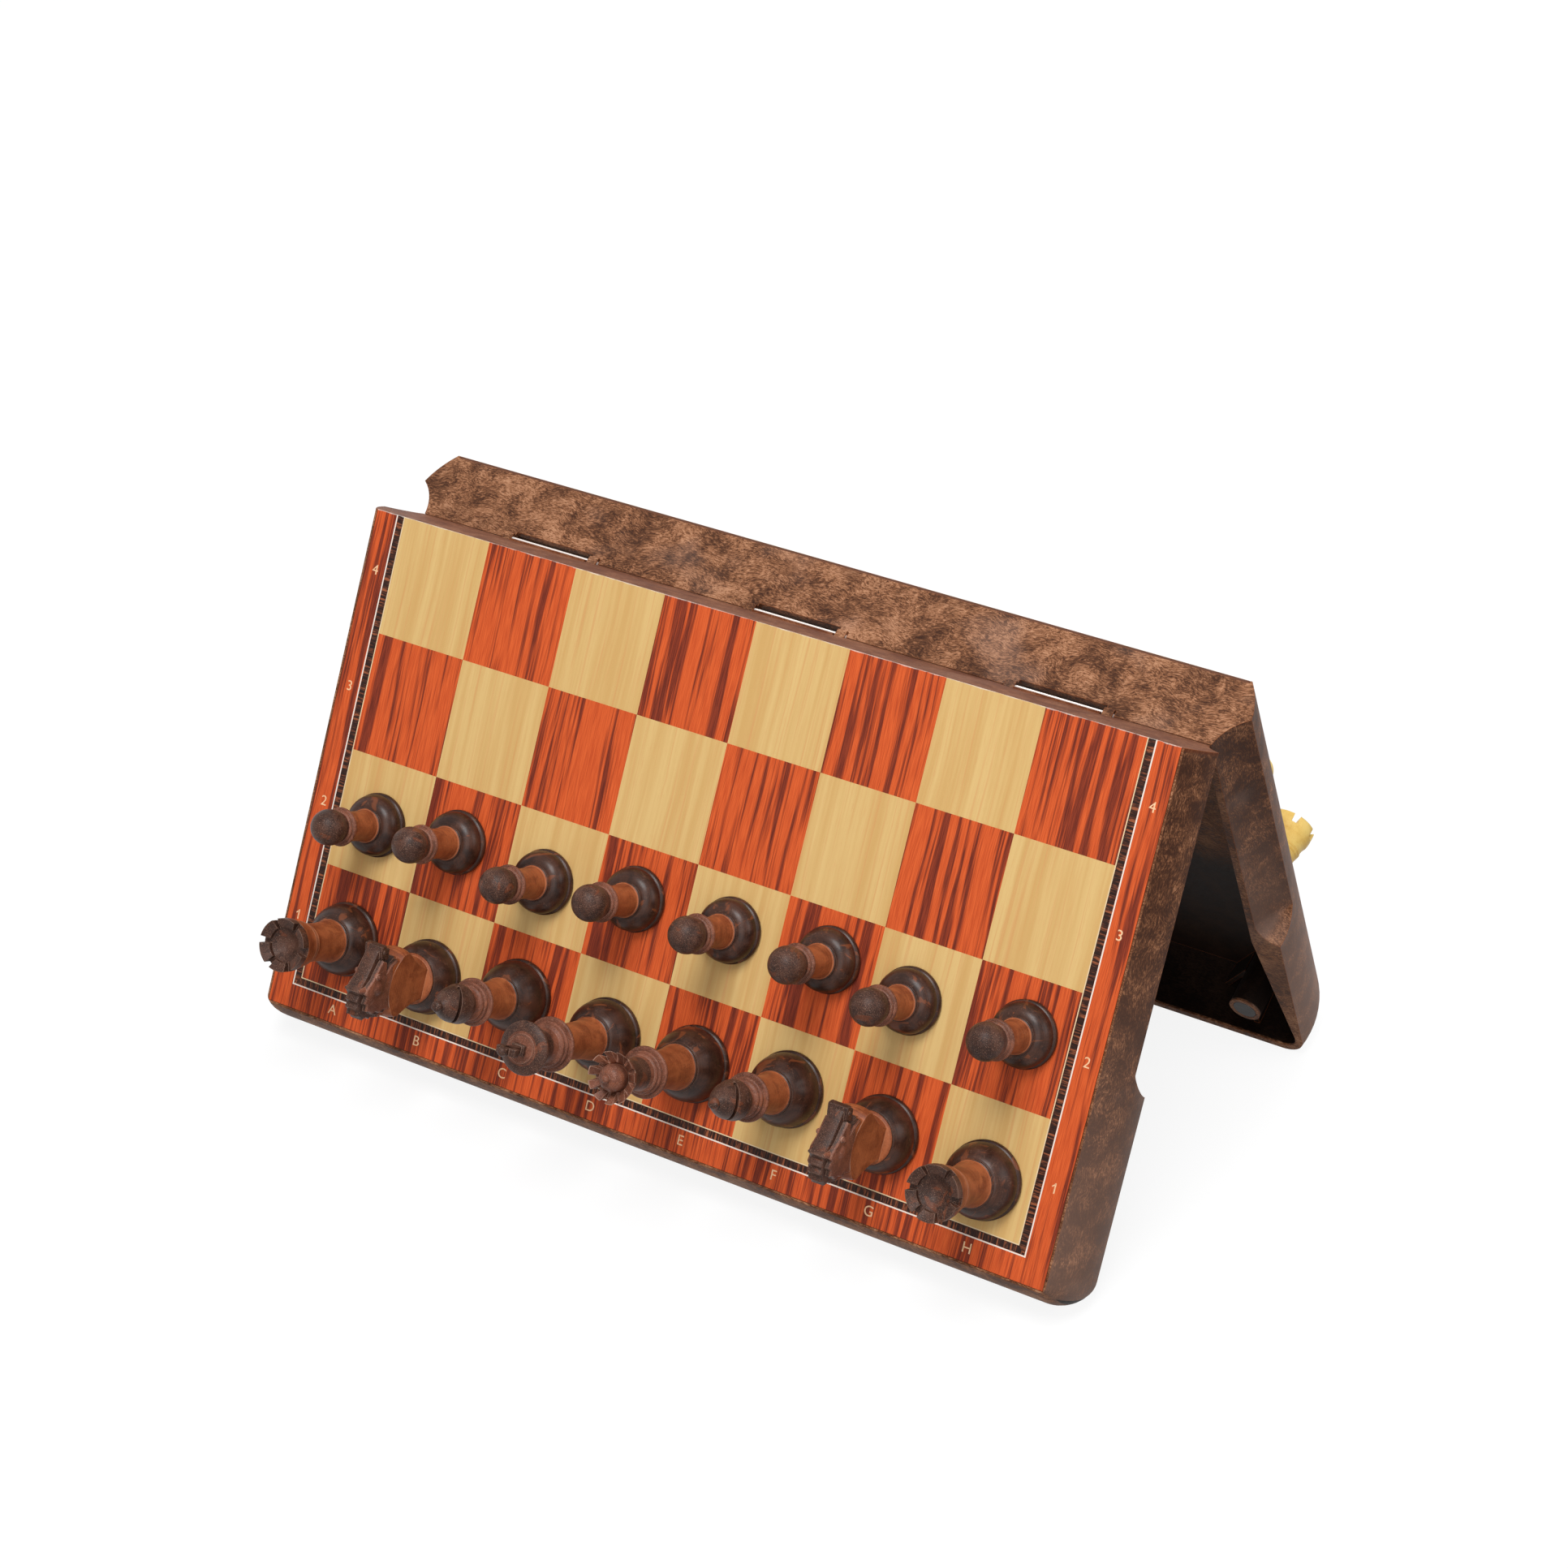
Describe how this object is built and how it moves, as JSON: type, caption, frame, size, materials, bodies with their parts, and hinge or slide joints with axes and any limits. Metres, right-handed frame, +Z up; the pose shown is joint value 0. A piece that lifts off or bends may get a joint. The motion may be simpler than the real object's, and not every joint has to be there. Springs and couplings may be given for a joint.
{
  "type": "chess set with board",
  "caption": "Folding magnetic chess case in wood-look plastic, hinged open as a tent with the printed board outside and dark and cream men standing on its faces.",
  "frame": {"origin": "middle of the footprint on the table, under the hinge line", "axes": "+X along the hinge from the A file to the H file, +Y from the front half towards the rear half, +Z up"},
  "size_m": [0.3042, 0.283, 0.1667],
  "materials": {
    "case_plastic": "brown burl wood-look moulded plastic, satin",
    "printed_sheet": "printed wood-look board sheet, satin",
    "sheet_steel": "zinc-plated steel",
    "magnet": "dark ferrite",
    "dark_men": "dark marbled wood-look plastic, glossy foot and matte head",
    "cream_men": "plain pale yellow plastic, satin"
  },
  "bodies": {
    "front_half": {"front_shell": "case_plastic", "front_steel_sheet": "sheet_steel", "front_board_sheet": "printed_sheet", "front_closure_magnets": "magnet"},
    "rear_half": {"rear_shell": "case_plastic", "rear_steel_sheet": "sheet_steel", "rear_board_sheet": "printed_sheet", "rear_closure_magnets": "magnet", "hinge_pin_left": "sheet_steel", "hinge_pin_middle": "sheet_steel", "hinge_pin_right": "sheet_steel"},
    "dark_rook_a1": {"dark_rook_a1": "dark_men"},
    "dark_knight_b1": {"dark_knight_b1": "dark_men"},
    "dark_bishop_c1": {"dark_bishop_c1": "dark_men"},
    "dark_king_d1": {"dark_king_d1": "dark_men"},
    "dark_queen_e1": {"dark_queen_e1": "dark_men"},
    "dark_bishop_f1": {"dark_bishop_f1": "dark_men"},
    "dark_knight_g1": {"dark_knight_g1": "dark_men"},
    "dark_rook_h1": {"dark_rook_h1": "dark_men"},
    "dark_pawn_a2": {"dark_pawn_a2": "dark_men"},
    "dark_pawn_b2": {"dark_pawn_b2": "dark_men"},
    "dark_pawn_c2": {"dark_pawn_c2": "dark_men"},
    "dark_pawn_d2": {"dark_pawn_d2": "dark_men"},
    "dark_pawn_e2": {"dark_pawn_e2": "dark_men"},
    "dark_pawn_f2": {"dark_pawn_f2": "dark_men"},
    "dark_pawn_g2": {"dark_pawn_g2": "dark_men"},
    "dark_pawn_h2": {"dark_pawn_h2": "dark_men"},
    "cream_pawn_a7": {"cream_pawn_a7": "cream_men"},
    "cream_pawn_b7": {"cream_pawn_b7": "cream_men"},
    "cream_pawn_c7": {"cream_pawn_c7": "cream_men"},
    "cream_pawn_d7": {"cream_pawn_d7": "cream_men"},
    "cream_pawn_e7": {"cream_pawn_e7": "cream_men"},
    "cream_pawn_f7": {"cream_pawn_f7": "cream_men"},
    "cream_pawn_g7": {"cream_pawn_g7": "cream_men"},
    "cream_pawn_h7": {"cream_pawn_h7": "cream_men"},
    "cream_rook_a8": {"cream_rook_a8": "cream_men"},
    "cream_knight_b8": {"cream_knight_b8": "cream_men"},
    "cream_bishop_c8": {"cream_bishop_c8": "cream_men"},
    "cream_king_d8": {"cream_king_d8": "cream_men"},
    "cream_queen_e8": {"cream_queen_e8": "cream_men"},
    "cream_bishop_f8": {"cream_bishop_f8": "cream_men"},
    "cream_knight_g8": {"cream_knight_g8": "cream_men"},
    "cream_rook_h8": {"cream_rook_h8": "cream_men"}
  },
  "joints": [
    {"name": "case_hinge", "type": "hinge", "parent": "front_half", "child": "rear_half", "pos_m": [0, 0, 0.15562], "axis": [1, 0, 0], "range_deg": [-52.5, 127.5]},
    {"name": "lift_dark_rook_a1", "type": "slide", "parent": "front_half", "child": "dark_rook_a1", "axis": [0, -0.8969, 0.4423], "range_m": [0, 0.07]},
    {"name": "lift_dark_knight_b1", "type": "slide", "parent": "front_half", "child": "dark_knight_b1", "axis": [0, -0.8969, 0.4423], "range_m": [0, 0.07]},
    {"name": "lift_dark_bishop_c1", "type": "slide", "parent": "front_half", "child": "dark_bishop_c1", "axis": [0, -0.8969, 0.4423], "range_m": [0, 0.07]},
    {"name": "lift_dark_king_d1", "type": "slide", "parent": "front_half", "child": "dark_king_d1", "axis": [0, -0.8969, 0.4423], "range_m": [0, 0.07]},
    {"name": "lift_dark_queen_e1", "type": "slide", "parent": "front_half", "child": "dark_queen_e1", "axis": [0, -0.8969, 0.4423], "range_m": [0, 0.07]},
    {"name": "lift_dark_bishop_f1", "type": "slide", "parent": "front_half", "child": "dark_bishop_f1", "axis": [0, -0.8969, 0.4423], "range_m": [0, 0.07]},
    {"name": "lift_dark_knight_g1", "type": "slide", "parent": "front_half", "child": "dark_knight_g1", "axis": [0, -0.8969, 0.4423], "range_m": [0, 0.07]},
    {"name": "lift_dark_rook_h1", "type": "slide", "parent": "front_half", "child": "dark_rook_h1", "axis": [0, -0.8969, 0.4423], "range_m": [0, 0.07]},
    {"name": "lift_dark_pawn_a2", "type": "slide", "parent": "front_half", "child": "dark_pawn_a2", "axis": [0, -0.8969, 0.4423], "range_m": [0, 0.07]},
    {"name": "lift_dark_pawn_b2", "type": "slide", "parent": "front_half", "child": "dark_pawn_b2", "axis": [0, -0.8969, 0.4423], "range_m": [0, 0.07]},
    {"name": "lift_dark_pawn_c2", "type": "slide", "parent": "front_half", "child": "dark_pawn_c2", "axis": [0, -0.8969, 0.4423], "range_m": [0, 0.07]},
    {"name": "lift_dark_pawn_d2", "type": "slide", "parent": "front_half", "child": "dark_pawn_d2", "axis": [0, -0.8969, 0.4423], "range_m": [0, 0.07]},
    {"name": "lift_dark_pawn_e2", "type": "slide", "parent": "front_half", "child": "dark_pawn_e2", "axis": [0, -0.8969, 0.4423], "range_m": [0, 0.07]},
    {"name": "lift_dark_pawn_f2", "type": "slide", "parent": "front_half", "child": "dark_pawn_f2", "axis": [0, -0.8969, 0.4423], "range_m": [0, 0.07]},
    {"name": "lift_dark_pawn_g2", "type": "slide", "parent": "front_half", "child": "dark_pawn_g2", "axis": [0, -0.8969, 0.4423], "range_m": [0, 0.07]},
    {"name": "lift_dark_pawn_h2", "type": "slide", "parent": "front_half", "child": "dark_pawn_h2", "axis": [0, -0.8969, 0.4423], "range_m": [0, 0.07]},
    {"name": "lift_cream_pawn_a7", "type": "slide", "parent": "rear_half", "child": "cream_pawn_a7", "axis": [0, 0.8969, 0.4423], "range_m": [0, 0.07]},
    {"name": "lift_cream_pawn_b7", "type": "slide", "parent": "rear_half", "child": "cream_pawn_b7", "axis": [0, 0.8969, 0.4423], "range_m": [0, 0.07]},
    {"name": "lift_cream_pawn_c7", "type": "slide", "parent": "rear_half", "child": "cream_pawn_c7", "axis": [0, 0.8969, 0.4423], "range_m": [0, 0.07]},
    {"name": "lift_cream_pawn_d7", "type": "slide", "parent": "rear_half", "child": "cream_pawn_d7", "axis": [0, 0.8969, 0.4423], "range_m": [0, 0.07]},
    {"name": "lift_cream_pawn_e7", "type": "slide", "parent": "rear_half", "child": "cream_pawn_e7", "axis": [0, 0.8969, 0.4423], "range_m": [0, 0.07]},
    {"name": "lift_cream_pawn_f7", "type": "slide", "parent": "rear_half", "child": "cream_pawn_f7", "axis": [0, 0.8969, 0.4423], "range_m": [0, 0.07]},
    {"name": "lift_cream_pawn_g7", "type": "slide", "parent": "rear_half", "child": "cream_pawn_g7", "axis": [0, 0.8969, 0.4423], "range_m": [0, 0.07]},
    {"name": "lift_cream_pawn_h7", "type": "slide", "parent": "rear_half", "child": "cream_pawn_h7", "axis": [0, 0.8969, 0.4423], "range_m": [0, 0.07]},
    {"name": "lift_cream_rook_a8", "type": "slide", "parent": "rear_half", "child": "cream_rook_a8", "axis": [0, 0.8969, 0.4423], "range_m": [0, 0.07]},
    {"name": "lift_cream_knight_b8", "type": "slide", "parent": "rear_half", "child": "cream_knight_b8", "axis": [0, 0.8969, 0.4423], "range_m": [0, 0.07]},
    {"name": "lift_cream_bishop_c8", "type": "slide", "parent": "rear_half", "child": "cream_bishop_c8", "axis": [0, 0.8969, 0.4423], "range_m": [0, 0.07]},
    {"name": "lift_cream_king_d8", "type": "slide", "parent": "rear_half", "child": "cream_king_d8", "axis": [0, 0.8969, 0.4423], "range_m": [0, 0.07]},
    {"name": "lift_cream_queen_e8", "type": "slide", "parent": "rear_half", "child": "cream_queen_e8", "axis": [0, 0.8969, 0.4423], "range_m": [0, 0.07]},
    {"name": "lift_cream_bishop_f8", "type": "slide", "parent": "rear_half", "child": "cream_bishop_f8", "axis": [0, 0.8969, 0.4423], "range_m": [0, 0.07]},
    {"name": "lift_cream_knight_g8", "type": "slide", "parent": "rear_half", "child": "cream_knight_g8", "axis": [0, 0.8969, 0.4423], "range_m": [0, 0.07]},
    {"name": "lift_cream_rook_h8", "type": "slide", "parent": "rear_half", "child": "cream_rook_h8", "axis": [0, 0.8969, 0.4423], "range_m": [0, 0.07]}
  ]
}
